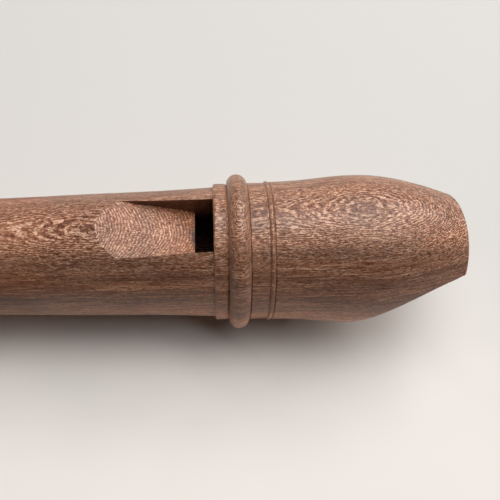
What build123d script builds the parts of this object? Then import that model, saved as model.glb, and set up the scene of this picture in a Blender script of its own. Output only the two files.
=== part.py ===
from build123d import *
import math
import os

# A soprano recorder in three turned joints, lying on its back with the window upwards.
# X runs along the bore from the foot to the beak, Z is up, and everything is in millimetres.
# The joints are made round the X axis and lifted at the end, so that the widest rings rest on Z = 0.

# ---- Lengths along the bore ----
TOTAL_LENGTH = 327.0
LABIUM_TO_TIP = 47.82                       # labium edge to the end of the beak
HEAD_LENGTH = 128.0
FOOT_LENGTH = 69.5

TIP_X = TOTAL_LENGTH / 2
LABIUM_X = TIP_X - LABIUM_TO_TIP
HEAD_RIM_X = TIP_X - HEAD_LENGTH            # socket rim of the head, on the middle joint's shoulder
BELL_X = -TOTAL_LENGTH / 2                  # open end of the foot
FOOT_RIM_X = BELL_X + FOOT_LENGTH           # socket rim of the foot, on the middle joint's shoulder

# ---- Bore radii ----
HEAD_BORE = 6.5
MIDDLE_BORE_TOP = 6.4
MIDDLE_BORE_END = 4.6
FOOT_BORE = 4.75
FOOT_CONE_LENGTH = 12.7                     # flare between the foot's socket and its straight bore
BELL_CHAMFER = 0.6

# ---- Tenons, sockets and their cork ----
HEAD_TENON = 22.5
FOOT_TENON = 13.0
SOCKET_SPARE = 0.3                          # socket deeper than its tenon
HEAD_SOCKET = 8.90                          # socket radii
FOOT_SOCKET = 8.20
TENON_SLACK = 0.30                          # bare tenon below its socket's wall
CORK_THICKNESS = 1.1
RUNNING_GAP = 0.03                          # radial play of the corks and the block
CORK_END_GAP = 0.10
HEAD_CORK = (3.5, 18.0)                     # distance of the cork from its shoulder, and its length
FOOT_CORK = (2.5, 8.5)
CORK_CHAMFER = 0.35

# ---- Window, labium and windway: heights are above the bore's axis, at mid-width ----
CUT_UP = 3.3                                # windway exit to labium edge
WINDOW_HALF_WIDTH = 5.05
WINDOW_FLOOR = 3.0                          # the window is cut down to here, inside the bore
LABIUM_HEIGHT = 6.52
LABIUM_THICKNESS = 0.10
RAMP_SLOPE = 0.285
RAMP_RUN = 21.0
RAMP_HALF_WIDTH = 5.75                      # the ramp's sides splay away from the window
UNDERCUT_SLOPE = 0.10                       # hollow under the labium
UNDERCUT_RUN = 20.0
EXIT_HALF_WIDTH = 5.0
EXIT_FLOOR = 6.10
EXIT_ROOF = 7.15
EXIT_ARCH = 60.0                            # radius of the cross curve at window and windway exit
ENTRY_HALF_WIDTH = 5.2
ENTRY_FLOOR = 6.90
ENTRY_ROOF = 8.30
ENTRY_ARCH = 18.0
WINDWAY_CHAMFER = 0.6
BLOCK_CHAMFER = 0.4

# ---- Beak: distances are from the labium edge ----
BEAK_START = (13.68, 12.82)                 # and the radius there
BEAK_SWELL = [(19.5, 13.1), (25.0, 13.65)]
BEAK_WIDEST = 30.0
BEAK_RADIUS = 13.88
BEAK_TAPER = [(38.0, 12.98), (43.0, 11.68)]
TIP_RADIUS = 10.3
TIP_ROUNDING = 0.8
BEAK_SLOPES = (0.01, -0.40)                 # of the outline at the beak's start and at its tip
CUT_RADIUS = 19.3                           # hollow cut under the beak
CUT_CENTRE = (44.9, -13.54)                 # distance from the labium edge, height above the axis
CUT_ANGLE = 52.0                            # slope at which the cut starts, in degrees

# ---- Ornament between window and beak: distances from the labium edge, and radii ----
BAND = (3.3, 5.4, 12.6)
BAND_ROUNDING = 0.35
BEAD = (5.8, 9.42, 14.3)
BEAD_FOOT_RADIUS = 12.38
COLLAR = (9.6, 12.35, 12.68)
QUIRK_RADIUS = 12.62                        # narrow grooves each side of the raised line
RAISED_LINE = (12.65, 13.5, 12.97)

# ---- Ornament of both sockets, from the rim: lengths, and radii ----
RIM_ROUNDING = 0.5
RIM_RING = (2.2, 12.7)
RIM_GROOVE = (0.4, 12.4)
HEAD_BULGE = (6.2, 6.6)                     # length of its rise and of its fall
FOOT_BULGE = (8.4, 11.0)
BULGE_RADIUS = 14.6                         # the widest rings, which carry the recorder on a table
BULGE_SLOPES = (0.8, -0.55)                 # where the bulge rises from its groove and meets the neck
NECK_RADIUS = 12.1
SMALL_BEAD = (3.0, 13.4)
FILLET_LENGTH = 0.8
FILLET_DROP = 0.3

# ---- Tubes between the ornaments: distances, and radii ----
HEAD_TUBE = [(-45.0, 10.5), (-18.0, 11.14), (-6.0, 11.5)]   # from the labium edge
HEAD_TUBE_END = 12.0
HEAD_TUBE_SLOPES = (-0.20, 0.06)            # of the outline at the tube's two ends
MIDDLE_LOW_RADIUS = 9.95
MIDDLE_HALFWAY = (72.0, 10.3)                   # from the lower shoulder
MIDDLE_TOP_RADIUS = 11.0
MIDDLE_SLOPES = (0.002, 0.013)
MIDDLE_FLARE = 1.6                              # power by which the radius grows towards the top
MIDDLE_RING = (1.4, 11.2)
MIDDLE_BEAD = (2.0, 11.9)
FOOT_WAIST = (22.0, 9.9)                        # from the open end
FOOT_SLOPES = (0.16, -0.24)                     # at the small bead and at the bell's bead
BELL_RING = (2.6, 12.3)
BELL_BEAD = (3.4, 13.4)

# ---- Tone holes: distance below the labium edge, and radius ----
THUMB_HOLE = (103.0, 2.7)
FINGER_HOLES = [(112.0, 2.2), (128.5, 2.45), (145.0, 2.6), (168.5, 2.7), (185.0, 2.5)]
RING_FINGER_HOLES = (201.0, 1.7, 1.45)      # a pair of holes side by side
LITTLE_FINGER_HOLES = (227.0, 1.65, 1.4)
PAIR_SPREAD = 12.5                          # degrees each side of the middle of a pair
LITTLE_FINGER_TURN = -14.0                  # degrees that the foot's pair is turned to the right hand
LITTLE_FINGER_SURFACE = 13.9                # radius of the foot's outside there
HOLE_CHAMFER = 0.3

AXIS_HEIGHT = BULGE_RADIUS


class Turning:
    """The outline of a turned piece, followed from one end to the other in steps of (x, radius)."""

    def __init__(self, x, radius):
        self.start = (x, radius)
        self.at = self.start
        self.edges = []

    def add(self, edge, end):
        self.edges.append(edge)
        self.at = end

    def to(self, x, radius):
        """A straight cut: a cylinder, a cone or a square shoulder."""
        self.add(Line(self.at, (x, radius)), (x, radius))

    def corner(self, x, radius):
        """A quarter-round between an end face and the outside, in either order."""
        far, near = math.sqrt(0.5), 1 - math.sqrt(0.5)
        share_x, share_radius = (near, far) if radius > self.at[1] else (far, near)
        middle = (self.at[0] + (x - self.at[0]) * share_x,
                  self.at[1] + (radius - self.at[1]) * share_radius)
        self.add(ThreePointArc(self.at, middle, (x, radius)), (x, radius))

    def bead(self, x, crest_radius):
        """A half-round ring that ends at the radius where it began."""
        end = (x, self.at[1])
        crest = ((self.at[0] + x) / 2, crest_radius)
        self.add(ThreePointArc(self.at, crest, end), end)

    def curve(self, points, start_slope, end_slope):
        """A smooth curve through points, with the slope of radius over X at each end."""
        way = math.copysign(1, points[-1][0] - self.at[0])
        tangents = [(way, way * start_slope), (way, way * end_slope)]
        self.add(Spline(self.at, *points, tangents=tangents), points[-1])

    def solid(self):
        """The outline closed along the X axis and turned about it."""
        closing = Polyline(self.at, (self.at[0], 0), (self.start[0], 0), self.start)
        return revolve(make_face([*self.edges, *closing.edges()]), Axis.X, 360)


def from_labium(distance):
    """X of a place that lies this far from the labium edge, towards the beak."""
    return LABIUM_X + distance


def rod(radius, start_x, end_x, end_radius=None):
    """A cylinder or cone about the X axis."""
    outline = Turning(start_x, radius)
    outline.to(end_x, radius if end_radius is None else end_radius)
    return outline.solid()


def arched(x, half_width, crown, arch_radius, far_z):
    """A section across the bore at X: upright sides, one arched side with its crown, one flat side."""
    shoulder = crown - (arch_radius - math.sqrt(arch_radius**2 - half_width**2))
    arch = ThreePointArc((-half_width, shoulder), (0, crown), (half_width, shoulder))
    sides = Polyline((half_width, shoulder), (half_width, far_z),
                     (-half_width, far_z), (-half_width, shoulder))
    section = Plane(origin=(x, 0, 0), x_dir=(0, 1, 0), z_dir=(1, 0, 0))
    return section * make_face([arch, *sides.edges()])


def wedge(*sections):
    """A straight-sided solid between sections."""
    return loft(list(sections), ruled=True)


# ---- Ornament of both sockets ----

def socket_ornament(outline, rim_x, away, bulge):
    """The ring, bulge and bead round a socket, begun at its mouth; away is the way from the rim."""
    rise, fall = bulge
    ring_length, ring_radius = RIM_RING
    groove_length, groove_radius = RIM_GROOVE
    bead_length, bead_radius = SMALL_BEAD
    outline.to(rim_x, ring_radius - RIM_ROUNDING)
    outline.corner(rim_x + away * RIM_ROUNDING, ring_radius)
    outline.to(rim_x + away * ring_length, ring_radius)
    outline.to(rim_x + away * ring_length, groove_radius)
    foot = rim_x + away * (ring_length + groove_length)
    outline.to(foot, groove_radius)
    crest = foot + away * rise
    neck = crest + away * fall
    outline.curve([(crest, BULGE_RADIUS)], away * BULGE_SLOPES[0], 0)
    outline.curve([(neck, NECK_RADIUS)], 0, away * BULGE_SLOPES[1])
    bead_foot = neck + away * FILLET_LENGTH
    outline.to(bead_foot, NECK_RADIUS)
    outline.bead(bead_foot + away * bead_length, bead_radius)
    tube = bead_foot + away * (bead_length + FILLET_LENGTH)
    outline.to(tube, NECK_RADIUS)
    outline.to(tube, NECK_RADIUS - FILLET_DROP)


# ---- Head ----

def head_tube(outline):
    """The plain tube, waisted, that widens to the window."""
    points = [(from_labium(distance), radius) for distance, radius in HEAD_TUBE]
    outline.curve([*points, (from_labium(CUT_UP), HEAD_TUBE_END)], *HEAD_TUBE_SLOPES)


def window_ornament(outline):
    """The band beside the window, the large bead, the collar and the thin raised line."""
    band_start, band_end, band_radius = BAND
    bead_start, bead_end, bead_radius = BEAD
    collar_start, collar_end, collar_radius = COLLAR
    line_start, line_end, line_radius = RAISED_LINE
    outline.to(from_labium(band_start), band_radius - BAND_ROUNDING)
    outline.corner(from_labium(band_start + BAND_ROUNDING), band_radius)
    outline.to(from_labium(band_end), band_radius)
    outline.to(from_labium(bead_start), BEAD_FOOT_RADIUS)
    outline.bead(from_labium(bead_end), bead_radius)
    outline.to(from_labium(collar_start), collar_radius)
    outline.to(from_labium(collar_end), collar_radius)
    outline.to(from_labium(line_start), QUIRK_RADIUS)
    outline.bead(from_labium(line_end), line_radius)


def beak(outline):
    """The beak, swelling to its widest place and tapering to a rounded end."""
    widest = (from_labium(BEAK_WIDEST), BEAK_RADIUS)
    swell = [(from_labium(distance), radius) for distance, radius in BEAK_SWELL]
    taper = [(from_labium(distance), radius) for distance, radius in BEAK_TAPER]
    outline.to(from_labium(BEAK_START[0]), BEAK_START[1])
    outline.curve([*swell, widest], BEAK_SLOPES[0], 0)
    outline.curve([*taper, (TIP_X - TIP_ROUNDING, TIP_RADIUS)], 0, BEAK_SLOPES[1])
    outline.corner(TIP_X, TIP_RADIUS - TIP_ROUNDING)


def windway():
    """The slot over the block, up to its roof, with the chamfer at its exit."""
    exit_x = from_labium(CUT_UP)
    slot = wedge(arched(exit_x, EXIT_HALF_WIDTH, EXIT_ROOF, EXIT_ARCH, 0),
                 arched(TIP_X, ENTRY_HALF_WIDTH, ENTRY_ROOF, ENTRY_ARCH, 0))
    mouth = wedge(arched(exit_x, EXIT_HALF_WIDTH, EXIT_ROOF + WINDWAY_CHAMFER, EXIT_ARCH, 0),
                  arched(exit_x + WINDWAY_CHAMFER, EXIT_HALF_WIDTH, EXIT_ROOF, EXIT_ARCH, 0))
    return slot + mouth


def window():
    """The opening over the bore, from the labium edge to the windway's exit."""
    outside = 2 * BULGE_RADIUS
    return wedge(arched(LABIUM_X, WINDOW_HALF_WIDTH, WINDOW_FLOOR, EXIT_ARCH, outside),
                 arched(from_labium(CUT_UP), WINDOW_HALF_WIDTH, WINDOW_FLOOR, EXIT_ARCH, outside))


def ramp():
    """The sloping cut that leaves the labium as a thin edge."""
    outside = 2 * BULGE_RADIUS
    top = LABIUM_HEIGHT + RAMP_RUN * RAMP_SLOPE
    return wedge(arched(LABIUM_X, WINDOW_HALF_WIDTH, LABIUM_HEIGHT, EXIT_ARCH, outside),
                 arched(LABIUM_X - RAMP_RUN, RAMP_HALF_WIDTH, top, EXIT_ARCH, outside))


def undercut():
    """The hollow that thins the labium from the bore's side."""
    edge = LABIUM_HEIGHT - LABIUM_THICKNESS
    low = edge - UNDERCUT_RUN * UNDERCUT_SLOPE
    return wedge(arched(LABIUM_X, EXIT_HALF_WIDTH, edge, EXIT_ARCH, 0),
                 arched(LABIUM_X - UNDERCUT_RUN, EXIT_HALF_WIDTH, low, EXIT_ARCH, 0))


def beak_cut():
    """What the hollow cut under the beak takes away from head and block."""
    centre_x = from_labium(CUT_CENTRE[0])
    centre_z = CUT_CENTRE[1]

    def on_arc(degrees):
        angle = math.radians(degrees)
        return (centre_x - CUT_RADIUS * math.sin(angle), centre_z + CUT_RADIUS * math.cos(angle))

    start, crest = on_arc(CUT_ANGLE), on_arc(0)
    below = -2 * BEAK_RADIUS
    run = (start[1] - below) / math.tan(math.radians(CUT_ANGLE))
    arc = ThreePointArc(start, on_arc(CUT_ANGLE / 2), crest)
    rest = Polyline(crest, (2 * TIP_X, crest[1]), (2 * TIP_X, below), (start[0] - run, below), start)
    return extrude(Plane.XZ * make_face([arc, *rest.edges()]), 2 * BEAK_RADIUS, both=True)


def head_joint():
    outline = Turning(HEAD_RIM_X, HEAD_SOCKET)
    socket_ornament(outline, HEAD_RIM_X, 1, HEAD_BULGE)
    head_tube(outline)
    window_ornament(outline)
    beak(outline)
    socket_end = HEAD_RIM_X + HEAD_TENON + SOCKET_SPARE
    cuts = [rod(HEAD_SOCKET, HEAD_RIM_X - 1, socket_end), rod(HEAD_BORE, HEAD_RIM_X, TIP_X + 1),
            windway(), window(), ramp(), undercut(), beak_cut()]
    return outline.solid() - cuts


def block():
    """The plug under the windway: a rod with a raised rail, whose top is the windway's floor."""
    exit_x = from_labium(CUT_UP)
    rail = wedge(arched(exit_x, EXIT_HALF_WIDTH - RUNNING_GAP, EXIT_FLOOR, EXIT_ARCH, 0),
                 arched(TIP_X, ENTRY_HALF_WIDTH - RUNNING_GAP, ENTRY_FLOOR, ENTRY_ARCH, 0))
    plug = rod(HEAD_BORE - RUNNING_GAP, exit_x, TIP_X)
    above = wedge(arched(exit_x, BEAK_RADIUS, EXIT_FLOOR, EXIT_ARCH, 2 * BEAK_RADIUS),
                  arched(TIP_X, BEAK_RADIUS, ENTRY_FLOOR, ENTRY_ARCH, 2 * BEAK_RADIUS))
    chamfer = wedge(arched(exit_x, HEAD_BORE, EXIT_FLOOR - BLOCK_CHAMFER, EXIT_ARCH, BEAK_RADIUS),
                    arched(exit_x + BLOCK_CHAMFER, HEAD_BORE, EXIT_FLOOR, EXIT_ARCH, BEAK_RADIUS))
    return plug - above + rail - chamfer - beak_cut()


# ---- Middle ----

def tenon(shoulder_x, length, away, socket_radius, cork_place):
    """A tenon with the shallow seat for its cork; away is the way from the shoulder."""
    wood = socket_radius - TENON_SLACK
    seat = socket_radius - 2 * RUNNING_GAP - CORK_THICKNESS
    start, span = cork_place
    seat_start = shoulder_x + away * (start - CORK_END_GAP)
    seat_end = shoulder_x + away * (start + span + CORK_END_GAP)
    solid = rod(wood, shoulder_x, shoulder_x + away * length)
    return solid - (rod(wood + 1, seat_start, seat_end) - rod(seat, seat_start, seat_end))


def cork_band(shoulder_x, away, socket_radius, place):
    """A band of cork that lies in its tenon's seat and fills the socket."""
    outer = socket_radius - RUNNING_GAP
    start, span = place
    near = shoulder_x + away * start
    far = near + away * span
    outline = Turning(near, outer - CORK_CHAMFER)
    outline.to(near + away * CORK_CHAMFER, outer)
    outline.to(far - away * CORK_CHAMFER, outer)
    outline.to(far, outer - CORK_CHAMFER)
    return outline.solid() - rod(outer - CORK_THICKNESS, near - away, far + away)


def tone_hole(distance, hole_radius, surface_radius, turn=0.0):
    """A drill through the wall with a small chamfer, turned about the bore by degrees."""
    drill = Pos(0, 0, surface_radius) * Cylinder(hole_radius, surface_radius)
    lip = Pos(0, 0, surface_radius) * Cone(hole_radius, hole_radius + 2 * HOLE_CHAMFER, 2 * HOLE_CHAMFER)
    return Pos(from_labium(-distance), 0, 0) * Rot(turn, 0, 0) * (drill + lip)


def hole_pair(pair, surface_radius, turn=0.0):
    """The wide and the narrow hole side by side under one finger."""
    distance, wide, narrow = pair
    return [tone_hole(distance, wide, surface_radius, turn + PAIR_SPREAD),
            tone_hole(distance, narrow, surface_radius, turn - PAIR_SPREAD)]


def middle_outline():
    ring_length, ring_radius = MIDDLE_RING
    bead_length, bead_radius = MIDDLE_BEAD
    rounding = RIM_ROUNDING / 2
    outline = Turning(FOOT_RIM_X, ring_radius - rounding)
    outline.corner(FOOT_RIM_X + rounding, ring_radius)
    outline.to(FOOT_RIM_X + ring_length, ring_radius)
    bead_foot = FOOT_RIM_X + ring_length
    outline.to(bead_foot, ring_radius - FILLET_DROP)
    outline.bead(bead_foot + bead_length, bead_radius)
    outline.to(bead_foot + bead_length, MIDDLE_LOW_RADIUS)
    halfway = (FOOT_RIM_X + MIDDLE_HALFWAY[0], MIDDLE_HALFWAY[1])
    outline.curve([halfway, (HEAD_RIM_X - RIM_ROUNDING, MIDDLE_TOP_RADIUS)], *MIDDLE_SLOPES)
    outline.corner(HEAD_RIM_X, MIDDLE_TOP_RADIUS - RIM_ROUNDING)
    return outline


def middle_radius(distance):
    """Roughly the radius of the middle joint's outside, this far below the labium edge."""
    share = (LABIUM_X - distance - FOOT_RIM_X) / (HEAD_RIM_X - FOOT_RIM_X)
    return MIDDLE_LOW_RADIUS + (MIDDLE_TOP_RADIUS - MIDDLE_LOW_RADIUS) * share ** MIDDLE_FLARE


def middle_joint():
    solid = middle_outline().solid()
    solid += tenon(HEAD_RIM_X, HEAD_TENON, 1, HEAD_SOCKET, HEAD_CORK)
    solid += tenon(FOOT_RIM_X, FOOT_TENON, -1, FOOT_SOCKET, FOOT_CORK)
    bore = rod(MIDDLE_BORE_END, FOOT_RIM_X - FOOT_TENON, HEAD_RIM_X + HEAD_TENON, MIDDLE_BORE_TOP)
    holes = [tone_hole(distance, radius, middle_radius(distance)) for distance, radius in FINGER_HOLES]
    holes += hole_pair(RING_FINGER_HOLES, middle_radius(RING_FINGER_HOLES[0]))
    thumb_distance, thumb_radius = THUMB_HOLE
    holes.append(tone_hole(thumb_distance, thumb_radius, middle_radius(thumb_distance), 180))
    return solid - [bore, *holes]


# ---- Foot ----

def foot_outline():
    ring_length, ring_radius = BELL_RING
    bead_length, bead_radius = BELL_BEAD
    outline = Turning(FOOT_RIM_X, FOOT_SOCKET)
    socket_ornament(outline, FOOT_RIM_X, -1, FOOT_BULGE)
    bead_foot = ring_radius - FILLET_DROP
    bead_start = BELL_X + ring_length
    outline.curve([(BELL_X + FOOT_WAIST[0], FOOT_WAIST[1])], FOOT_SLOPES[0], 0)
    outline.curve([(bead_start + bead_length + FILLET_LENGTH, bead_foot - FILLET_DROP)], 0, FOOT_SLOPES[1])
    outline.to(bead_start + bead_length + FILLET_LENGTH, bead_foot)
    outline.to(bead_start + bead_length, bead_foot)
    outline.bead(bead_start, bead_radius)
    outline.to(bead_start, ring_radius)
    outline.to(BELL_X + RIM_ROUNDING, ring_radius)
    outline.corner(BELL_X, ring_radius - RIM_ROUNDING)
    return outline


def foot_joint():
    socket_end = FOOT_RIM_X - FOOT_TENON - SOCKET_SPARE
    cone_end = socket_end - FOOT_CONE_LENGTH
    cuts = [rod(FOOT_SOCKET, socket_end, FOOT_RIM_X + 1),
            rod(FOOT_BORE, cone_end, socket_end, MIDDLE_BORE_END),
            rod(FOOT_BORE, BELL_X - 1, cone_end),
            rod(FOOT_BORE + BELL_CHAMFER, BELL_X, BELL_X + BELL_CHAMFER, FOOT_BORE)]
    holes = hole_pair(LITTLE_FINGER_HOLES, LITTLE_FINGER_SURFACE, LITTLE_FINGER_TURN)
    return foot_outline().solid() - [*cuts, *holes]


PARTS = {
    "head_joint": head_joint(),
    "block": block(),
    "head_tenon_cork": cork_band(HEAD_RIM_X, 1, HEAD_SOCKET, HEAD_CORK),
    "middle_joint": middle_joint(),
    "foot_tenon_cork": cork_band(FOOT_RIM_X, -1, FOOT_SOCKET, FOOT_CORK),
    "foot_joint": foot_joint(),
}

os.makedirs("parts", exist_ok=True)
for name, solid in PARTS.items():
    export_step(Pos(0, 0, AXIS_HEIGHT) * solid, f"parts/{name}.step")
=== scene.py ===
import math
import bpy
from mathutils import Matrix, Vector


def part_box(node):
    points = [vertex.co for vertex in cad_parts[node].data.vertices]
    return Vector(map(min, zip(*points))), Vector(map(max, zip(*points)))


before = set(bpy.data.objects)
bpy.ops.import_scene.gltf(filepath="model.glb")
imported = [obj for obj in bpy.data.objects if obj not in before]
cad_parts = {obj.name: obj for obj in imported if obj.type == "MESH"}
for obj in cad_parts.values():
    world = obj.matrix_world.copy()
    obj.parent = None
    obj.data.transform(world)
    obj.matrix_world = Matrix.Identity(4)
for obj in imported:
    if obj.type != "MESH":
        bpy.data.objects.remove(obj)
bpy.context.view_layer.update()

# A soprano recorder lying on its back on a pale table. +X runs from the foot to the beak, +Z is up.
# Everything is in metres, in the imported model's own frame. Materials work in millimetres of that frame.

MM = 0.001
CUT_UP = 3.3 * MM                           # from the labium edge to the block's front
LABIUM_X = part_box("block")[0].x - CUT_UP
AXIS_Z = (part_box("head_joint")[0].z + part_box("head_joint")[1].z) / 2

NEAR_WHITE = (1, 0.98, 0.96)                # colour of the lights and the surroundings
LIGHT_DISTANCE = 1.5

# Hardwood, in millimetres
RAMP_LENGTH = 18                            # from where the bare ramp begins to the labium edge
WINDOW_END = RAMP_LENGTH + CUT_UP / MM + 0.1    # a little past the window, from the same place
LAYER = 0.155                               # from one fine growth line to the next
WANDER = [((0.035, 0.07, 0.07), 1.6), ((0.13, 0.35, 0.35), 0.30),   # features per millimetre, and
          ((0.45, 1.1, 1.1), 0.14), ((1.5, 3.0, 3.0), 0.06)]        # how far they shift the layers
WOOD_GROUND = ((0.28, 0.109, 0.053), (0.305, 0.123, 0.062))
WOOD_FLAKE = (0.685, 0.42, 0.285)
WOOD_PORE = (0.095, 0.024, 0.008)


# ---- Camera and studio ----

def add_camera():
    """Looks down on the head at 65 degrees, turned a little to the beak, from the recorder's front."""
    side, height = 40.66 * MM, 87.94 * MM   # from the bore's axis
    past_labium = 3.41 * MM
    elevation = math.atan2(height, side)
    yaw, pitch, roll = (math.radians(angle) for angle in (3.93, 0.09, -1.36))
    right = Vector((1, 0, 0))
    ahead = Vector((0, math.cos(elevation), -math.sin(elevation)))
    up = right.cross(ahead)
    ahead, right = (ahead * math.cos(yaw) + right * math.sin(yaw),
                    right * math.cos(yaw) - ahead * math.sin(yaw))
    ahead, up = (ahead * math.cos(pitch) + up * math.sin(pitch),
                 up * math.cos(pitch) - ahead * math.sin(pitch))
    right, up = (right * math.cos(roll) + up * math.sin(roll),
                 up * math.cos(roll) - right * math.sin(roll))
    data = bpy.data.cameras.new("camera")
    data.lens = 37.08
    data.clip_start = 5 * MM
    camera = bpy.data.objects.new("camera", data)
    place = Vector((LABIUM_X + past_labium, -side, AXIS_Z + height))
    axes = Matrix((right, up, -ahead)).transposed().to_4x4()
    camera.matrix_world = Matrix.Translation(place) @ axes
    bpy.context.scene.collection.objects.link(camera)
    bpy.context.scene.camera = camera


def add_floor(material):
    reach = 3.0                             # from the middle to each side
    mesh = bpy.data.meshes.new("floor")
    corners = [(-reach, -reach, 0), (reach, -reach, 0), (reach, reach, 0), (-reach, reach, 0)]
    mesh.from_pydata(corners, [], [(0, 1, 2, 3)])
    floor = bpy.data.objects.new("floor", mesh)
    floor.data.materials.append(material)
    bpy.context.scene.collection.objects.link(floor)


def add_light(name, lean_x, lean_y, length, width, watts, colour=NEAR_WHITE, shines=True):
    """An oval soft light aimed at the head. It stands above, leaning over by these slopes. One that
    doesn't shine leaves no reflection."""
    target = Vector((LABIUM_X, 0, 0))
    data = bpy.data.lights.new(name, "AREA")
    data.shape = "ELLIPSE"
    data.size = length
    data.size_y = width
    data.energy = watts
    data.color = colour
    light = bpy.data.objects.new(name, data)
    light.visible_glossy = shines
    light.location = target + Vector((lean_x, lean_y, 1)).normalized() * LIGHT_DISTANCE
    light.rotation_euler = (target - light.location).to_track_quat("-Z", "Y").to_euler()
    bpy.context.scene.collection.objects.link(light)


def add_world(colour, strength, backdrop):
    """Dim, even light all round, and a paler backdrop that only shows beyond the floor."""
    world = bpy.data.worlds.new("studio")
    world.use_nodes = True
    nodes, links = world.node_tree.nodes, world.node_tree.links
    dim = nodes["Background"]
    pale = nodes.new("ShaderNodeBackground")
    for background, level in ((dim, strength), (pale, backdrop)):
        background.inputs["Color"].default_value = (*colour, 1)
        background.inputs["Strength"].default_value = level
    seen = nodes.new("ShaderNodeLightPath").outputs["Is Camera Ray"]
    both = nodes.new("ShaderNodeMixShader")
    for socket, source in zip(both.inputs, (seen, dim.outputs[0], pale.outputs[0])):
        links.new(source, socket)
    links.new(both.outputs[0], nodes["World Output"].inputs["Surface"])
    bpy.context.scene.world = world


# ---- Materials ----

class Graph:
    """A material, with short calls that add nodes to it."""

    def __init__(self, name):
        self.material = bpy.data.materials.new(name)
        self.material.use_nodes = True
        self.tree = self.material.node_tree
        self.shader = self.tree.nodes["Principled BSDF"]

    def feed(self, socket, value):
        if isinstance(value, bpy.types.NodeSocket):
            self.tree.links.new(value, socket)
        else:
            socket.default_value = value

    def add(self, kind, inputs, **settings):
        node = self.tree.nodes.new(kind)
        for key, value in settings.items():
            setattr(node, key, value)
        for key, value in inputs.items():
            self.feed(node.inputs[key], value)
        return node

    def math(self, operation, a, b=0.0, c=0.0):
        return self.add("ShaderNodeMath", {0: a, 1: b, 2: c}, operation=operation).outputs[0]

    def product(self, first, *others):
        for other in others:
            first = self.math("MULTIPLY", first, other)
        return first

    def vector(self, operation, a, b):
        return self.add("ShaderNodeVectorMath", {0: a, 1: b}, operation=operation).outputs[0]

    def length(self, vector):
        return self.add("ShaderNodeVectorMath", {0: vector}, operation="LENGTH").outputs["Value"]

    def split(self, vector):
        return self.add("ShaderNodeSeparateXYZ", {0: vector}).outputs

    def combine(self, x, y, z):
        return self.add("ShaderNodeCombineXYZ", {0: x, 1: y, 2: z}).outputs[0]

    def coordinates(self, kind):
        return self.add("ShaderNodeTexCoord", {}).outputs[kind]

    def millimetres(self, shift=(0, 0, 0)):
        """Where a point is on the object at rest, in millimetres."""
        scaled = self.vector("MULTIPLY", self.coordinates("Object"), (1 / MM,) * 3)
        return self.vector("ADD", scaled, shift)

    def noise(self, place, per_mm, detail=2.0, roughness=0.5):
        """Noise about zero, with this many features per millimetre along each axis."""
        scaled = self.vector("MULTIPLY", place, per_mm)
        noise = self.add("ShaderNodeTexNoise", {"Vector": scaled, "Scale": 1.0,
                                                "Detail": detail, "Roughness": roughness})
        return self.math("SUBTRACT", noise.outputs["Fac"], 0.5)

    def smooth(self, value, low, high, to_low=0.0, to_high=1.0):
        """A soft step: to_low where value is at low or beyond, to_high at high or beyond."""
        node = self.add("ShaderNodeMapRange", {"Value": value, "From Min": low, "From Max": high,
                                               "To Min": to_low, "To Max": to_high},
                        interpolation_type="SMOOTHSTEP")
        return node.outputs["Result"]

    def mix(self, share, a, b, blend="MIX"):
        node = self.add("ShaderNodeMix", {}, data_type="RGBA", blend_type=blend)
        self.feed(node.inputs[0], share)
        for socket, colour in ((node.inputs[6], a), (node.inputs[7], b)):
            self.feed(socket, (*colour, 1) if isinstance(colour, tuple) else colour)
        return node.outputs[2]

    def bump(self, height, strength, distance):
        node = self.add("ShaderNodeBump", {"Height": height, "Strength": strength, "Distance": distance})
        self.feed(self.shader.inputs["Normal"], node.outputs["Normal"])


def layer_height(g, place, axes, from_ramp):
    """How high a point lies among the growth layers, which are arched, leaning and uneven."""
    height = g.math("MULTIPLY_ADD", g.product(axes["Y"], axes["Y"]), -0.018, axes["Z"])
    lean = g.math("MAXIMUM", g.math("MULTIPLY_ADD", from_ramp, 0.0033, -0.0155), -0.04)
    height = g.math("MULTIPLY_ADD", axes["Y"], lean, height)
    for per_mm, swing in WANDER:
        height = g.math("MULTIPLY_ADD", g.noise(place, per_mm), swing, height)
    return height


def wood_flakes(g, place, grain, height, bare, flank):
    """The light and dark figure, about zero: fine on the crown, long streaks on the flanks."""
    flakes = g.noise(grain, (1.1, 1.3, 10.0), 2.0, 0.8)
    wave = g.math("SINE", g.product(height, 2 * math.pi / LAYER))
    flakes = g.math("MULTIPLY_ADD", wave, g.math("MULTIPLY_ADD", bare, 0.02, 0.085), flakes)
    flakes = g.math("MULTIPLY_ADD", g.noise(place, (2.0, 6.0, 6.0), 1.0), 0.50, flakes)
    calm = g.math("MULTIPLY_ADD", bare, -0.35, g.math("MULTIPLY_ADD", flank, -0.5, 1.0))
    streaks = g.product(g.noise(grain, (0.14, 0.9, 5.0), 2.0, 0.7), flank)
    return g.math("MULTIPLY_ADD", streaks, 0.7, g.product(flakes, calm))


def wood_colour(g, place, flakes, pores):
    """The wood's colour before shading."""
    tone = g.smooth(g.noise(place, (0.03, 0.12, 0.12), 3.0), -0.25, 0.25)
    light = g.smooth(flakes, -0.02, 0.18)
    dark = g.smooth(flakes, -0.02, -0.18)
    colour = g.mix(light, g.mix(tone, *WOOD_GROUND), WOOD_FLAKE)
    return g.mix(g.math("MAXIMUM", dark, g.product(pores, 0.85)), colour, WOOD_PORE)


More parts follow.
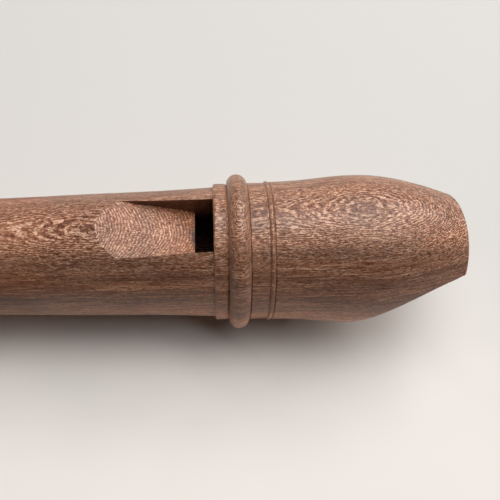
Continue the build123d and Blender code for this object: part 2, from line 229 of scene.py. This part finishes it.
def wood_shade(g, axes, grain, radius, from_ramp, bare):
    """Broad colour factors: bands of tone, a darker head tube, painted shade on the front flank, in the
    bore and window and on its walls, and painted light underneath and on the ramp.
    """
    # Painted shade: the front flank above the axis, on the -Y side, is darkened to 0.64, where the lights
    # leave it dim.
    front_shade = g.product(g.smooth(axes["Y"], -2.5, -7.0), g.smooth(axes["Z"], 14.0, 19.0))
    bands = g.noise(grain, (0.03, 0.08, 0.7), 3.0, 0.6)
    # Painted shade: the bore is darkened to 0.15 inside a radius of 6.4 mm, and in the slot under the
    # window this dark reaches 0.7 mm further out, up the walls.
    slot = g.product(g.math("GREATER_THAN", from_ramp, RAMP_LENGTH),
                     g.math("LESS_THAN", from_ramp, WINDOW_END))
    depth = g.math("MULTIPLY_ADD", slot, -0.7, radius)
    # Painted shade: the bare window walls, which face along Y, are darkened to 0.6.
    normal = g.split(g.coordinates("Normal"))
    wall_shade = g.product(g.smooth(g.math("ABSOLUTE", normal["Y"]), 0.8, 0.95), bare)
    return g.product(g.smooth(front_shade, 0, 1, 1.0, 0.64),
                     g.smooth(bands, -0.2, 0.2, 0.78, 1.2),
                     # Painted light: below Z 13 mm the wood is lightened up to 1.4 times, standing in for
                     # light bounced up from the floor.
                     g.smooth(axes["Z"], 20.0, 13.0, 1.0, 1.4),
                     g.smooth(depth, 6.4, 7.0, 0.15, 1.0),
                     g.smooth(wall_shade, 0, 1, 1.0, 0.6),
                     # Painted light: the bare ramp is lightened by 1.22, against the shade that the
                     # window's wall throws on it.
                     g.smooth(bare, 0, 1, 1.0, 1.22),
                     g.smooth(from_ramp, 15, 24, 0.86, 1.0))


def hardwood(name, shift, bare_radius, growth):
    """Reddish-brown wood, flat-sawn: growth layers lie nearly level, so lines ring each swelling's top.
    It is bare and dull inside bare_radius, which widens by growth towards the beak. A shift gives
    each joint its own piece of the figure."""
    g = Graph(name)
    place = g.millimetres(shift)
    axes = g.split(g.millimetres())
    radius = g.length(g.vector("MULTIPLY", g.millimetres((0, 0, -AXIS_Z / MM)), (0, 1, 1)))
    from_ramp = g.math("SUBTRACT", axes["X"], LABIUM_X / MM - RAMP_LENGTH)
    limit = g.math("MULTIPLY_ADD", from_ramp, growth, bare_radius)
    bare = g.product(g.smooth(g.math("SUBTRACT", radius, limit), 0.03, -0.03),
                     g.math("LESS_THAN", from_ramp, WINDOW_END))
    flank = g.smooth(g.math("ABSOLUTE", axes["Y"]), 4.5, 9.5)
    height = layer_height(g, place, axes, from_ramp)
    grain = g.vector("ADD", g.combine(axes["X"], axes["Y"], height), shift)
    flakes = wood_flakes(g, place, grain, height, bare, flank)
    pores = g.smooth(g.noise(place, (0.9, 5.5, 5.5), 2.0, 0.65), 0.03, 0.12)
    shade = wood_shade(g, axes, grain, radius, from_ramp, bare)
    # Painted shade: a band along the flank around Z 18 mm loses green and blue, taking back the pale
    # reflection that the lights leave there.
    side = g.smooth(g.math("ABSOLUTE", g.math("SUBTRACT", axes["Z"], 18.0)), 6, 2)
    green = g.product(shade, g.smooth(side, 0, 1, 1.0, 0.82))
    blue = g.product(shade, g.smooth(side, 0, 1, 1.0, 0.62))
    colour = g.mix(1.0, wood_colour(g, place, flakes, pores), g.combine(shade, green, blue), "MULTIPLY")
    g.feed(g.shader.inputs["Base Color"], colour)
    polish = g.smooth(flakes, -0.2, 0.2, 0.33, 0.44)
    g.feed(g.shader.inputs["Roughness"], g.math("MAXIMUM", polish, g.product(bare, 0.5)))
    g.shader.inputs["Specular IOR Level"].default_value = 0.62
    g.shader.inputs["Sheen Weight"].default_value = 0.45
    g.shader.inputs["Sheen Roughness"].default_value = 0.25
    g.shader.inputs["Sheen Tint"].default_value = (1.0, 0.68, 0.5, 1)
    g.bump(g.math("SUBTRACT", g.product(flakes, 1.5), pores), 0.6, 0.03 * MM)
    return g.material


def cedar(name):
    """Soft pinkish cedar, straight-grained along the block, with clear growth rings on its ends."""
    g = Graph(name)
    place = g.millimetres()
    axes = g.split(place)
    ring_width = 1.1
    height = g.math("MULTIPLY_ADD", axes["Y"], 0.35, axes["Z"])
    height = g.math("MULTIPLY_ADD", g.noise(place, (0.02, 0.15, 0.15)), 2.0, height)
    ring = g.math("FRACT", g.product(height, 1 / ring_width))
    late = g.smooth(ring, 0.45, 0.95)
    fibre = g.noise(place, (0.25, 6.0, 6.0), 3.0, 0.6)
    colour = g.mix(late, (0.66, 0.40, 0.24), (0.42, 0.19, 0.10))
    colour = g.mix(g.smooth(fibre, -0.05, 0.25), colour, (0.36, 0.17, 0.09))
    g.feed(g.shader.inputs["Base Color"], colour)
    g.feed(g.shader.inputs["Roughness"], g.smooth(fibre, -0.3, 0.3, 0.6, 0.8))
    g.bump(g.math("SUBTRACT", late, fibre), 0.4, 0.04 * MM)
    return g.material


def cork(name):
    """Pressed cork: pale grains of mixed size with darker joints and a few brown specks."""
    g = Graph(name)
    place = g.millimetres()
    wobble = g.noise(place, (1.2, 1.2, 1.2), 2.0)
    moved = g.vector("ADD", place, wobble)
    grains = g.add("ShaderNodeTexVoronoi", {"Vector": moved, "Scale": 0.9})
    joints = g.add("ShaderNodeTexVoronoi", {"Vector": moved, "Scale": 0.9}, feature="DISTANCE_TO_EDGE")
    grain = g.split(grains.outputs["Color"])["X"]
    joint = g.smooth(joints.outputs["Distance"], 0.10, 0.0)
    speck = g.smooth(g.noise(place, (2.2, 2.2, 2.2), 2.0), 0.14, 0.22)
    colour = g.mix(grain, (0.50, 0.31, 0.17), (0.68, 0.47, 0.28))
    colour = g.mix(g.math("MAXIMUM", g.product(joint, 0.6), speck), colour, (0.20, 0.10, 0.05))
    g.feed(g.shader.inputs["Base Color"], colour)
    g.feed(g.shader.inputs["Roughness"], g.smooth(grain, 0, 1, 0.7, 0.9))
    g.bump(g.math("MULTIPLY_ADD", g.math("MAXIMUM", joint, speck), -1.0, grain), 0.6, 0.08 * MM)
    return g.material


def paper(name):
    """Warm white matt paper with a faint cloudiness, and painted light that makes it a little brighter in
    front of the recorder.
    It glows far off, where the lights don't reach, so that it fades into the backdrop."""
    g = Graph(name)
    place = g.millimetres()
    cloud = g.product(g.noise(place, (0.03, 0.03, 0.03)), 40.0)
    # Painted light: the paper is paler towards the front, with a cloudy edge to the change.
    front = g.smooth(g.math("ADD", g.split(place)["Y"], cloud), 15, -45)
    g.feed(g.shader.inputs["Base Color"], g.mix(front, (0.635, 0.625, 0.605), (0.78, 0.745, 0.715)))
    g.shader.inputs["Roughness"].default_value = 0.7
    away = g.length(g.millimetres((0, -400, 0)))
    g.shader.inputs["Emission Color"].default_value = (*NEAR_WHITE, 1)
    g.feed(g.shader.inputs["Emission Strength"], g.smooth(away, 450, 2200, 0.0, 0.68))
    return g.material


def dress(node, material):
    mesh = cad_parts[node].data
    mesh.materials.clear()
    mesh.materials.append(material)


bpy.context.scene.view_settings.view_transform = "Standard"
add_camera()
add_floor(paper("paper"))
add_world(NEAR_WHITE, strength=0.02, backdrop=0.7)
add_light("key", 0.25, 0.32, 1.8, 0.45, 13.1)
add_light("fill", 0.05, 0.06, 2.2, 0.42, 11.5, shines=False)
add_light("side", 1.10, 0.85, 0.6, 0.5, 5.5)
add_light("back", 0.0, 2.48, 0.6, 0.6, 1.0)
add_light("sheen", 0.40, 0.95, 0.4, 0.4, 3.0, (1, 0.98, 0.97))
dress("head_joint", hardwood("head_wood", (0, 0, 0), 11.08, 0.028))
dress("middle_joint", hardwood("middle_wood", (300, 40, 25), 9.0, 0.0))
dress("foot_joint", hardwood("foot_wood", (700, -60, 45), 9.0, 0.0))
dress("block", cedar("cedar"))
for node in ("head_tenon_cork", "foot_tenon_cork"):
    dress(node, cork(node))
